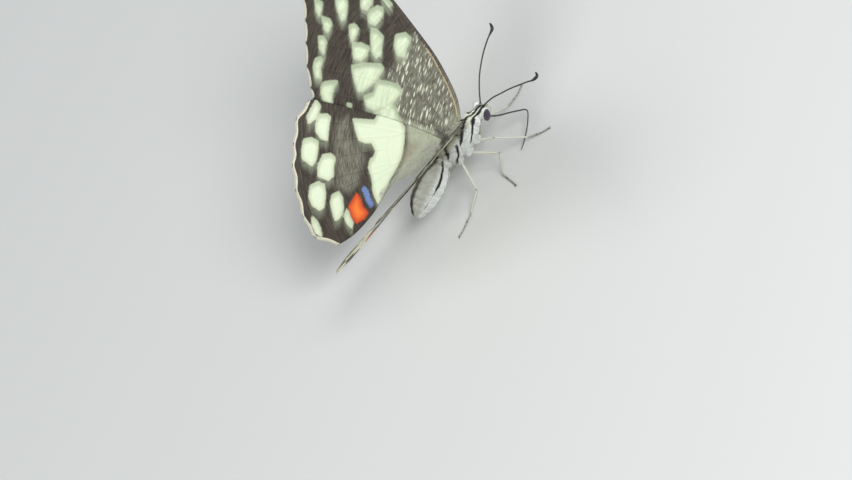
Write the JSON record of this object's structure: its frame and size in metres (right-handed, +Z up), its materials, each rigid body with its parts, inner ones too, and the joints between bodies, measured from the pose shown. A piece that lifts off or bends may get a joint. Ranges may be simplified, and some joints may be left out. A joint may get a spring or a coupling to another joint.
{
  "type": "lime swallowtail butterfly",
  "caption": "Life-size tailless swallowtail butterfly standing on its legs, both wing pairs held up in a wide V, long tongue reaching down.",
  "frame": {"origin": "on the floor under the middle of the animal's overall box, at the level of the soles", "axes": "+X towards the head, +Y towards the animal's left, +Z up"},
  "size_m": [0.0532, 0.0646, 0.0408],
  "materials": {
    "dark_down": "short dark hair over a hard skin",
    "cream_down": "short cream scales and hair",
    "eye": "glossy faceted horn",
    "wing": "dry scaled membrane",
    "dark_horn": "dark horn, half matt",
    "leg": "pale scaled horn"
  },
  "bodies": {
    "root": {"head": "dark_down", "thorax": "dark_down", "abdomen": "cream_down", "eye_left": "eye", "eye_right": "eye", "palp_left": "cream_down", "palp_right": "cream_down", "proboscis": "dark_horn", "antenna_left": "dark_horn", "antenna_right": "dark_horn", "forewing_left": "wing", "forewing_right": "wing", "hindwing_left": "wing", "hindwing_right": "wing", "leg_front_left": "leg", "leg_front_right": "leg", "leg_middle_left": "leg", "leg_middle_right": "leg", "leg_hind_left": "leg", "leg_hind_right": "leg"}
  },
  "joints": []
}
